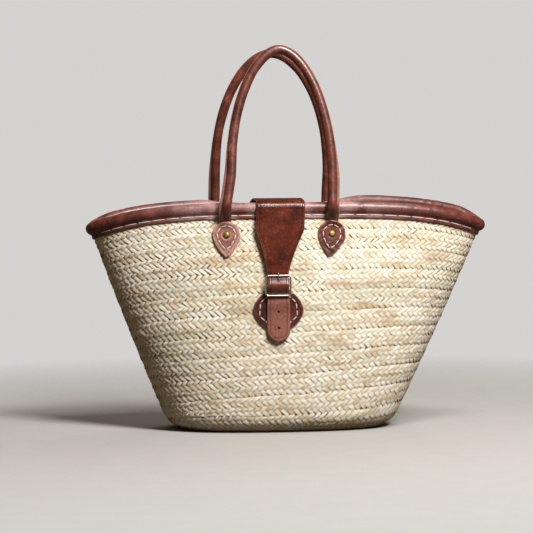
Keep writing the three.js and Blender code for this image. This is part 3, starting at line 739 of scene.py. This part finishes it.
def spun(name, profile, height, seat, node):
    """A round brass piece, spun about the seat's way out from its profile of radius and rise over a height."""
    shape = bmesh.new()
    corners = [shape.verts.new(on_seat(seat, (radius, 0, height + rise))) for radius, rise in profile]
    edges = [shape.edges.new(pair) for pair in zip(corners, corners[1:])]
    bmesh.ops.spin(shape, geom=corners + edges, cent=seat[0], axis=seat[3], angle=2 * math.pi, steps=32,
                   use_merge=True, use_duplicate=False)
    bmesh.ops.remove_doubles(shape, verts=shape.verts, dist=1e-6)
    bmesh.ops.recalc_face_normals(shape, faces=shape.faces)
    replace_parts(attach(placed(name, shape, brass, "rivet_brass"), "basket"), node)


def bearing(spots):
    return np.arctan2(spots[:, 1], spots[:, 0])


head_profile = ((0, -0.0009), (0.0040, -0.0009), (0.0043, -0.0004), (0.0042, 0.0004), (0.0036, 0.0010),
                (0.0026, 0.0016), (0.0015, 0.0018), (0, 0.0016))
washer_profile = ((0, -0.0009), (0.0012, -0.0009), (0.0017, -0.0004), (0.0018, 0), (0.0046, 0), (0.0050, 0.0004),
                  (0.0050, 0.0012), (0, 0.0012))
washer_face = -plait - 2 * touch - 0.001
tab_outline = drop_outline(80)
tab_outline = tab_outline + unit(tab_outline) * (tab_waver * np.sin(np.arange(len(tab_outline)) * 0.55))[:, None]
tab_order = np.argsort(bearing(tab_outline))
tab_bearing, tab_size = bearing(tab_outline)[tab_order], np.linalg.norm(tab_outline, axis=1)[tab_order]
tab_face = touch + tab_thickness
for name, (x, facing, turned_by, pale) in tabs.items():
    seat = wall_seat(x, rivet_height, facing, turned_by)
    tab = plate(f"{name}_tab_leather", tab_outline, tab_thickness, tab_lift, seat, tab_skin, "handle_leather")
    flat = seat_place(seat, tab)
    from_rivet = np.linalg.norm(flat, axis=1)
    size = from_rivet / np.interp(bearing(flat), tab_bearing, tab_size)
    pale_rings = 0.35 + 0.65 * ease(size, 0.60, 0.74) + 0.6 * hump(from_rivet, 0.0064, 0.0009)
    mark(tab, "wear_and_sheen", pale * pale_rings)
    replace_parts(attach(tab, "basket"), f"{name}_tab")
    sewn(f"{name}_tab_stitches", [0.66 * np.concatenate((tab_outline, tab_outline[:1]))], seat,
         lambda x, y: tab_face + tab_lift(x, y))
    spun(f"{name}_rivet_head", head_profile, tab_face + touch, seat, f"{name}_rivet")
    spun(f"{name}_washer_and_tail", washer_profile, washer_face, seat, f"{name}_washer")

# Handles. A strip of the same leather is rolled round a rope and sewn edge to edge, so that a narrow fin runs up
# the outer side of each leg. It flattens at its ends, which are tucked under the tabs.
roll_radius = 0.0062
roll_end_width = 0.007
roll_end_thickness = 0.0024
roll_flat_run = 0.024
tuck_thickness = 0.0016
tuck_run = 0.008
hinge_height = body_height - 0.0055
hinge_middle = -0.0179
hinge_room = 0.0008
handle_stations = 420
handles = {
    "front": (-1, (-0.0675, 0.071), 0.0665, 0.051, 0.217, 0.050, 0.006),
    "back": (1, (-0.0755, 0.079), 0.0775, 0.065, 0.221, 0.050, 0.003),
}
fin_width = 0.0036
fin_full = 0.055
fin_end = 0.125
fin_thickness = 0.0019
handle_skin = leather("handle_leather", (0.135, 0.033, 0.020), (0.52, 0.27, 0.22), 0.38, 1.0, 0.34)


def smooth_line(points, count):
    """Even spots along the centripetal curve through points."""
    points = np.asarray(points, float)
    points = np.concatenate((2 * points[:1] - points[1:2], points, 2 * points[-1:] - points[-2:-1]))
    gaps = np.linalg.norm(np.diff(points, axis=0), axis=1) ** 0.5
    share = np.linspace(0, 1, 60, endpoint=False)[:, None]
    line = []
    for k in range(1, len(points) - 2):
        before, first, last, after = points[k - 1:k + 3]
        g0, g1, g2 = gaps[k - 1:k + 2]
        leave = ((first - before) / g0 - (last - before) / (g0 + g1) + (last - first) / g1) * g1
        arrive = ((last - first) / g1 - (after - first) / (g1 + g2) + (after - last) / g2) * g1
        line.append(first + leave * share + (3 * (last - first) - 2 * leave - arrive) * share**2
                    + (2 * (first - last) + leave + arrive) * share**3)
    line = np.concatenate((*line, points[-2:-1]))
    reach = reach_along(line)
    return points_at(line, reach, np.linspace(0, reach[-1], count)), reach[-1]


def from_line(line, made):
    """For each corner of a piece, the nearest station of its line, and the way from there to the corner."""
    spots = spots_of(made)
    nearest = np.array([np.argmin(((line - spot) ** 2).sum(1)) for spot in spots])
    return nearest, spots - line[nearest]


def wall_spot(x, height, facing, up, out):
    return off_wall(height, turn_at(x, height, facing), up, out)


def handle_points(facing, feet, arch_half, arch_rise, apex_rise, apex_reach, lean_by):
    arch_start, apex = body_height + arch_rise, body_height + apex_rise
    hinge_out = flange_outer - plait / 2 + hinge_room + roll_end_thickness
    hinge_reach, rim_reach = (
        max(abs(wall_spot(x, height, facing, up, out)[1] - bag_middle[1]) for x in feet)
        for height, up, out in ((hinge_height, 0, hinge_out), (body_height, rim_rise, -plait / 2)))
    pass_reach = rim_reach + rim_radius + touch + roll_radius
    pass_height = wall_spot(feet[1], body_height, facing, rim_rise, 0)[2]

    def reach_at(height):
        share = (height - pass_height) / (apex - pass_height)
        return facing * (pass_reach + (apex_reach - pass_reach) * share)

    middle = (pass_height + arch_start) / 2
    legs = [[
        (foot, facing * hinge_reach, hinge_height),
        (foot, reach_at(pass_height), pass_height),
        ((foot + lean_by + side * arch_half) / 2, reach_at(middle), middle),
    ] for side, foot in zip((-1, 1), feet)]
    arch = []
    for k in range(13):
        angle = math.pi * (1 - k / 12)
        height = arch_start + (apex - arch_start) * math.sin(angle)
        sideways = math.copysign(abs(math.cos(angle)) ** 1.1, math.cos(angle))
        arch.append((lean_by + arch_half * sideways, reach_at(height), height))
    return np.array(legs[0] + arch + legs[1][::-1]) + bag_middle


fin_angles = np.radians((6, 10, 11.5, 13, 16, 22))
roll_angle = np.concatenate(((0,), fin_angles, np.radians(np.linspace(32, 328, 25)), 2 * math.pi - fin_angles[::-1]))
fin_share = np.interp(np.minimum(roll_angle, 2 * math.pi - roll_angle), fin_angles, (0.97, 0.8, 0.5, 0.0, -0.10, 0))
fin_share[0] = 1
tuck_height, tuck_out = np.array(((0.2735, 0.2765, 0.2792), (0.0019, 0.0024, 0.0037)))
for name, (facing, feet, *arch) in handles.items():
    line = smooth_line(handle_points(facing, feet, *arch), handle_stations)[0]
    tucks = [wall_spot(foot, tuck_height, facing, 0, tuck_out) for foot in feet]
    line = np.concatenate((tucks[0], line[3:-3], tucks[1][::-1]))
    tangent = unit(np.gradient(line, axis=0))
    inner = unit(np.cross((0, 1, 0), tangent))
    thick = np.cross(tangent, inner)
    reach = reach_along(line)
    from_end = np.minimum(reach, reach[-1] - reach)
    roundness = ease(from_end, tuck_run, tuck_run + roll_flat_run)
    half_width = roll_end_width + (roll_radius - roll_end_width) * roundness
    half_thickness = tuck_thickness + (roll_end_thickness - tuck_thickness) * ease(from_end, 0, tuck_run)
    half_thickness = half_thickness + (roll_radius - half_thickness) * roundness
    fin = fin_width * (1 - 0.85 * ease(from_end, fin_full, fin_end)) * (0.5 + 0.5 * ease(from_end, 0, 0.02))

    def handle_place(i, j):
        j = j % len(roll_angle)
        outwards = half_width[i] * np.cos(roll_angle[j]) + fin[i] * fin_share[j]
        lift = half_thickness[i] * np.sin(roll_angle[j])
        spots = line[i] - inner[i] * outwards[:, None] + thick[i] * lift[:, None]
        uneven = ripple(spots * (1, 1, 0.5), 60.0, 4.0) * 0.00022 + ripple(spots, 240.0, 8.0) * 0.00007
        return spots + unit(spots - line[i]) * uneven[:, None]

    handle = swept(f"{name}_handle_leather", len(line) - 1, len(roll_angle), handle_place, handle_skin,
                   "handle_leather")
    nearest, away = from_line(line, handle)
    outwards = -(away * inner[nearest]).sum(1) - half_width[nearest]
    flank = np.abs((away * thick[nearest]).sum(1))
    on_fin = (flank < fin_thickness) & (outwards > -0.0004)
    # The fin's outer part is painted pale, partly a worn cut edge and partly a painted highlight. The crease
    # darkening at its foot, where it meets the roll, is painted shade.
    mark(handle, "from_edge", np.where(on_fin, np.clip(fin[nearest] - outwards, 0, 0.0042), uncut))
    mark(handle, "wear_and_sheen", np.where(on_fin & (outwards > 0.0006), 0.35, 0))
    hinge = Vector((hinge_middle, facing * abs(line[12, 1] - bag_middle[1]) + bag_middle[1], hinge_height))
    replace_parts(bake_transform(handle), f"{name}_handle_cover")

rope, here = finish("palm_rope")
lay = here.node("TexWave", {"bands_direction": "DIAGONAL"}, {"Vector": here, "Scale": 90.0, "Distortion": 2.0})
dress(rope, Base_Color=tint(lay, (0.28, 0.19, 0.10), (0.55, 0.42, 0.25)), Normal=relief(lay, 0.8, 0.001),
      Roughness=0.9)
for node in ("rim_core", "front_handle_rope", "back_handle_rope"):
    nodes[node].data.materials.clear()
    nodes[node].data.materials.append(rope)

# Flap. One piece of dark, highly glazed leather is sewn to the back of the bag, passes over the mouth and
# narrows to a strap in front. A creasing iron has run a line along its edges.
flap_leather = 0.002
flap_middle = 0.004
flap_half_width = 0.0322
flap_crown = 0.004
strap_half_width = 0.014
strap_end_half_width = 0.0152
anchor_drop = 0.061
anchor_corner = 0.012
tongue_parallel_run = 0.028
patch_side = -0.0015
patch_drop = 0.126
flap_skin = leather("flap_leather", (0.090, 0.0138, 0.0050), (0.32, 0.115, 0.085), 0.27, 0.2, 0.2)

strip_edge = ((0, 0), (0.0002, 0.6), (0.0007, 1), (0.0036, 1), (0.0042, 0.94), (0.0048, 1))
strip_section = (
    *((-1, inset, face) for inset, face in strip_edge),
    *((share, 0.006, 1) for share in (-0.95, -0.7, -0.45, -0.22, 0, 0.22, 0.45, 0.7, 0.95)),
    *((1, inset, face) for inset, face in strip_edge[::-1]), (1, 0.0004, -0.8), (1, 0.0012, -1),
    (0.5, 0.006, -1), (0, 0.006, -1), (-0.5, 0.006, -1), (-1, 0.0012, -1), (-1, 0.0004, -0.8),
)


def punched(made, holes):
    """Cuts round holes. Each is given as the two ends of its middle line and its radius."""
    cutter = bmesh.new()
    for first, last, radius in holes:
        run = Vector(last - first)
        bmesh.ops.create_cone(
            cutter, cap_ends=True, segments=20, radius1=radius, radius2=radius, depth=run.length,
            matrix=Matrix.Translation((first + last) / 2) @ run.to_track_quat("Z", "Y").to_matrix().to_4x4())
    punch = placed("hole_punch", cutter, made.data.materials[0], None)
    cut = made.modifiers.new("holes", "BOOLEAN")
    cut.object = punch
    cut.solver = "EXACT"
    freeze(made)
    bpy.data.objects.remove(punch)


def flap_strip(name, line, across, half_width, tip_from=1.0, holes=()):
    """Flat leather along a line. tip_from is each station's distance from the strap's round tip."""
    across = np.broadcast_to(across, line.shape)
    tip_from = np.broadcast_to(tip_from, len(line))
    share, inset, face = np.array(strip_section).T
    up = unit(np.cross(across, unit(np.gradient(line, axis=0))))

    def place(i, j):
        j = j % len(strip_section)
        sideways = share[j] * np.maximum(half_width[i] - inset[j], 0)
        spots = line[i] + across[i] * sideways[:, None] + up[i] * (flap_leather / 2 * face[j])[:, None]
        return spots + up[i] * (ripple(spots, 45.0, 6.0) * 0.00025)[:, None]

    made = swept(name, len(line) - 1, len(strip_section), place, flap_skin, "flap_leather")
    if holes:
        punched(made, holes)
    nearest, away = from_line(line, made)
    sideways = np.abs((away * across[nearest]).sum(1))
    past = strap_end_half_width - tip_from[nearest]
    inwards = np.where(past > 0, strap_end_half_width - np.hypot(sideways, past), half_width[nearest] - sideways)
    mark(made, "from_edge", np.clip(inwards, 0, None))
    return made


front_roll, back_roll = (
    wall_spot(flap_middle, body_height, facing, rim_rise, -plait / 2) for facing in (-1, 1))
front_roll[0] = back_roll[0] = flap_middle + bag_middle[0]
bend = rim_radius + touch + flap_leather / 2
flap_start = back_roll + (0, bend, 0)
flap_end = front_roll - (0, bend, 0)
anchor_foot = wall_spot(flap_middle, body_height - anchor_drop, 1, 0, touch + flap_leather / 2)
anchor_foot[0] = flap_start[0]
share = np.linspace(0, 1, 40)[:, None]
anchor_line = anchor_foot + (flap_start - anchor_foot) * share
angle = np.linspace(0, math.pi / 2, 26)[1:]
rear_line = back_roll + xyz(0, bend * np.cos(angle), bend * np.sin(angle))
front_line = front_roll + xyz(0, -bend * np.cos(angle), bend * np.sin(angle))[::-1]
share = np.linspace(1, -1, 90)[1:-1]
over_line = xyz(flap_start[0], bag_middle[1] + share * (back_roll[1] - bag_middle[1]),
                front_roll[2] + bend + flap_crown * (1 - share**2))
half = len(over_line) // 2
rear_path = np.concatenate((anchor_line, rear_line, over_line[:half + 1]))
low = np.where(np.arange(len(rear_path)) < len(anchor_line), np.linalg.norm(rear_path - anchor_foot, axis=1), 1)
corner_round = np.sqrt(1 - (1 - np.clip(low / anchor_corner, 0, 1)) ** 2)
rear_half = flap_half_width - anchor_corner + anchor_corner * corner_round
flap_rear = flap_strip("flap_rear_leather", rear_path, (-1.0, 0, 0), rear_half)
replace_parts(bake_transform(flap_rear, "basket", "flap", start=tuple(flap_start - (0, 0, 0.002)),
                     end=tuple(back_roll + (0, 0, bend))), "flap_anchor", "flap_rear_fold")

patch_seat = wall_seat(patch_side, body_height - patch_drop, -1)
patch_thickness = 0.0016
loop_leather = 0.0013
wire = 0.0012
eye_wire = 0.0007
strap_spring = 0.0007
strap_stations = 150
strap_tip = 0.016
hole_radius = 0.0016
hole_step = 0.021
bar_height = 0.0315
buckle_half_height = 0.013
patch_face = touch + patch_thickness
tail_face = patch_face + touch + 2 * loop_leather
strap_under = tail_face + touch + flap_leather / 2
bar_out = strap_under + flap_leather / 2 + touch + eye_wire + wire
strap_over = bar_out + wire + touch + loop_leather + touch + flap_leather / 2
strap_on_patch = patch_face + touch + flap_leather / 2 + strap_spring
strap_top = bar_height + 0.0175
prong_radius = 0.0009
prong_reach = 0.017
prong_rise = 0.0031
strap_head = on_seat(patch_seat, (0, strap_top, strap_under))
tongue_length = math.hypot(flap_end[1] - strap_head[1], flap_end[2] - strap_head[2]) - touch
shoulder = tongue_length - tongue_parallel_run
spread = flap_half_width - strap_half_width
share = np.linspace(0, 1, 80)
flank = np.array(((strap_half_width, touch), (strap_half_width + 0.19 * spread, 0.33 * shoulder),
                  (strap_half_width + 0.71 * spread, 0.79 * shoulder), (flap_half_width, shoulder)))
weights = xyz((1 - share) ** 3, 3 * share * (1 - share) ** 2, 3 * share**2 * (1 - share), share**3)
flank_line = weights @ flank
share = np.linspace(1, 0, 90)[:-1, None]
tongue_line = strap_head + (flap_end - strap_head) * share
tongue_half = np.interp(share[:, 0] * tongue_length, *flank_line[:, ::-1].T)
strap_spots = (
    (0, strap_top, strap_under), (0, bar_height + buckle_half_height + wire, strap_under),
    (0, bar_height, strap_over), (0, bar_height - buckle_half_height - wire, strap_under),
    (0, bar_height - 0.022 - wire, strap_under), (0, bar_height - 0.035, strap_on_patch),
    (0, bar_height - 0.0725, strap_on_patch),
)
strap_line, strap_length = smooth_line(on_seat(patch_seat, strap_spots), strap_stations)
tip_from = strap_length * (1 - np.linspace(0, 1, strap_stations))
below = ease(bar_height - buckle_half_height - wire - (strap_line - patch_seat[0]) @ patch_seat[2], 0, 0.013)
strap_half = strap_half_width + (strap_end_half_width - strap_half_width) * below
strap_half = strap_half * np.sqrt(1 - (1 - np.clip(tip_from / strap_tip, 0.002, 1)) ** 2)
front_path = np.concatenate((over_line[half:], front_line, tongue_line[1:], strap_line))
full_half = np.full(len(over_line) - half + len(front_line), flap_half_width)
front_half = np.concatenate((full_half, tongue_half[1:], strap_half))
front_tip = np.concatenate((np.ones(len(front_path) - strap_stations), tip_from))
sideways = np.tile((-1.0, 0, 0), (len(front_path), 1))
sideways[-strap_stations:] = -patch_seat[1]
pin_end = (0, bar_height + prong_reach, bar_out + prong_rise)
pin_root = (0, bar_height, bar_out + wire + 0.0008)
holes = [(*on_seat(patch_seat, (pin_root, pin_end)), prong_radius + touch)]
for k in range(3):
    hole_height = bar_height - buckle_half_height - k * hole_step
    holes.append((*on_seat(patch_seat, ((0, hole_height, 0.0022), (0, hole_height, 0.02))), hole_radius))
flap_front = flap_strip("flap_front_leather", front_path, sideways, front_half, front_tip, holes)
mark(flap_front, "wear_and_sheen", ease(-seat_place(patch_seat, flap_front)[:, 1], -0.045, -0.005))
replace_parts(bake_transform(flap_front, "flap", "flap_tongue", start=tuple(front_roll + (0, 0.003, bend)),
                     end=tuple(flap_end - (0, 0, 0.004))), "flap_top", "flap_front_fold", "flap_tongue", "strap_end")

anchor_up = unit(flap_start - anchor_foot)
anchor_seat = (anchor_foot, np.array((-1.0, 0, 0)), anchor_up, np.cross((-1.0, 0, 0), anchor_up))
turn = np.linspace(0, math.pi / 2, 9)
corner_line = xyz(0.0195 + 0.0065 * np.sin(turn), 0.0125 - 0.0065 * np.cos(turn))
anchor_run = np.concatenate(([(0.026, 0.052)], corner_line[::-1], corner_line * (-1, 1), [(-0.026, 0.052)]))
sewn("flap_anchor_stitches", [anchor_run], anchor_seat, lambda x, y: flap_leather / 2)

# Buckle. An oval leather is sewn to the front, and a folded loop of thin leather on it holds the centre bar of a
# nickel-plated wire buckle. The prong is bent round that bar and lies on the top bar.
patch_half_width = 0.033
patch_half_height = 0.0275
patch_wave = 0.014
stitch_half_width = 0.0266
stitch_half_height = 0.0222
patch_skin = leather("patch_leather", (0.085, 0.022, 0.016), (0.26, 0.12, 0.105), 0.34, 0.4, 0.2)
angle = np.arange(96) * 2 * math.pi / 96
patch_outline = xyz(patch_half_width * np.cos(angle), patch_half_height * np.sin(angle))
patch_outline = patch_outline * (1 + patch_wave * (np.cos(6 * angle + 0.5) - 1))[:, None]


def patch_lift(x, y):
    return 0.0002 * ease(np.hypot(x / patch_half_width, y / patch_half_height), 0.7, 0.9)


patch = plate("buckle_patch_leather", patch_outline, patch_thickness, patch_lift, patch_seat, patch_skin,
              "strap_leather")
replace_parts(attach(patch, "basket"), "buckle_patch")
angle = np.radians((112, 150, 200, 246))
stitch_arc = xyz(stitch_half_width * np.cos(angle), stitch_half_height * np.sin(angle))
sewn("buckle_patch_stitches", [stitch_arc, stitch_arc * (-1, 1)], patch_seat, lambda x, y: patch_face)

loop_half_width = 0.007
loop_tail = 0.022
loop_slot = 0.0013
slot_drop = 0.0028
strap_room = 0.0008
buckle_corner = 0.0032
loop_bend = wire + touch + loop_leather / 2
lower_layer = patch_face + touch + loop_leather / 2
upper_layer = tail_face - loop_leather / 2


def loop_leaves(start, layer, side):
    """The angle round the bar at which the loop's leather leaves for a layer of its tail."""
    reach = math.hypot(start, bar_out - layer)
    return math.atan2(bar_out - layer, start) + side * (math.asin(loop_bend / reach) + math.pi / 2)


angle = np.linspace(loop_leaves(0.007, lower_layer, -1), loop_leaves(0.009, upper_layer, 1), 25)
loop_line = np.array([
    (-loop_tail, lower_layer), (-0.012, lower_layer), (-0.007, lower_layer),
    *zip(loop_bend * np.cos(angle), bar_out + loop_bend * np.sin(angle)),
    (-0.009, upper_layer), (-0.014, upper_layer), (-loop_tail, upper_layer),
])
loop_columns = np.array((-loop_half_width, -0.0045, -loop_slot, 0, loop_slot, 0.0045, loop_half_width))
loop = sheet(len(loop_line) - 1, len(loop_columns) - 1, lambda i, j: on_seat(
    patch_seat, xyz(loop_columns[j], bar_height + loop_line[i, 0], loop_line[i, 1])))
slot_faces = []
for face in loop.faces:
    middle = np.array(face.calc_center_median()) - patch_seat[0]
    if abs(middle @ patch_seat[1]) < loop_slot and middle @ patch_seat[2] > bar_height - slot_drop:
        slot_faces.append(face)
bmesh.ops.delete(loop, geom=slot_faces, context="FACES")
bmesh.ops.recalc_face_normals(loop, faces=loop.faces)
bmesh.ops.solidify(loop, geom=loop.faces, thickness=loop_leather)
bmesh.ops.recalc_face_normals(loop, faces=loop.faces)
loop_leather_piece = placed("buckle_loop_leather", loop, patch_skin, "strap_leather")
mark(loop_leather_piece, "from_edge", np.full(len(loop_leather_piece.data.vertices), uncut))
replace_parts(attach(loop_leather_piece, "basket"), "buckle_loop")

nickel, here = finish("nickel_plate")
dull = mottle(here, 260.0, 4.0)
dress(nickel, Base_Color=tint(between(dull, 0.4, 0.75), (0.86, 0.83, 0.78), (0.55, 0.47, 0.36)),
      Roughness=0.2 + dull * 0.2, Metallic=1.0)


def wire_piece(name, line, radius, flat_way, sides):
    """Round wire bent along a line that lies square to flat_way."""
    radius = np.broadcast_to(radius, len(line))[:, None]
    way = np.gradient(line, axis=0)
    if np.allclose(line[0], line[-1]):
        way[0] = way[-1] = line[1] - line[-2]
    side = unit(np.cross(unit(way), flat_way))

    def place(i, j):
        angle = 2 * math.pi * (j % sides)[:, None] / sides
        return line[i] + radius[i] * (side[i] * np.cos(angle) + flat_way * np.sin(angle))

    return swept(name, len(line) - 1, sides, place, nickel, "nickel_wire")


buckle_half_width = strap_half_width + strap_room + wire
bar_half_length = 0.0155
eye_stations = 31
eye_radius = 0.002
frame_line = []
for corner in range(4):
    for angle in np.radians(90 * corner + np.linspace(0, 90, 10)):
        x = (buckle_half_width - buckle_corner) * (1 if corner in (0, 3) else -1) + buckle_corner * math.cos(angle)
        y = (buckle_half_height - buckle_corner) * (1 if corner < 2 else -1) + buckle_corner * math.sin(angle)
        frame_line.append((x, bar_height + y, bar_out))
frame_line = on_seat(patch_seat, np.array(frame_line + frame_line[:1]))
frame_wire = wire_piece("buckle_frame_wire", frame_line, wire, patch_seat[3], 16)
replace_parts(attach(frame_wire, "buckle_frame"), "buckle_frame")
bar_line = on_seat(patch_seat, [(share * bar_half_length, bar_height, bar_out) for share in (-1, -0.5, 0, 0.5, 1)])
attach(wire_piece("buckle_centre_bar", bar_line, wire, patch_seat[3], 16), "buckle_frame")
angle = np.radians(np.linspace(400, 100, eye_stations))
eye = xyz(0, bar_height + eye_radius * np.cos(angle), bar_out + eye_radius * np.sin(angle))
share = np.linspace(0, 1, 14)[1:, None]
prong_line = on_seat(patch_seat, np.concatenate((eye, eye[-1] + (pin_end - eye[-1]) * share)))
pin_wire = (*np.linspace(0.0008, 0.0009, 9), 0.00088, 0.0008, 0.0006, 0.0003)
prong_wire = wire_piece("buckle_prong_wire", prong_line, (*[eye_wire] * eye_stations, *pin_wire), patch_seat[1], 12)
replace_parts(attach(prong_wire, "buckle_prong"), "buckle_prong")

# Floor. A plain pale floor, which thins out into the room's own paleness. It throws back less light than it
# shows, so that the bag isn't lit from below.
ground, here = finish("pale_floor")
distance = here.node("VectorMath", {"operation": "LENGTH"}, {0: here}, "Value")
seen = here.node("LightPath", {}, {}, "Is Camera Ray")
pale = tint(mottle(here, 30.0, 3.0), (0.38, 0.365, 0.34), (0.42, 0.405, 0.38))
dress(ground, Base_Color=tint(seen, (0.08, 0.06, 0.042), pale), Alpha=1 - between(distance, 0.45, 1.3),
      Roughness=0.85)
floor = bmesh.new()
bmesh.ops.create_circle(floor, cap_ends=True, segments=96, radius=1.4)
placed("pale_floor", floor, ground, None)
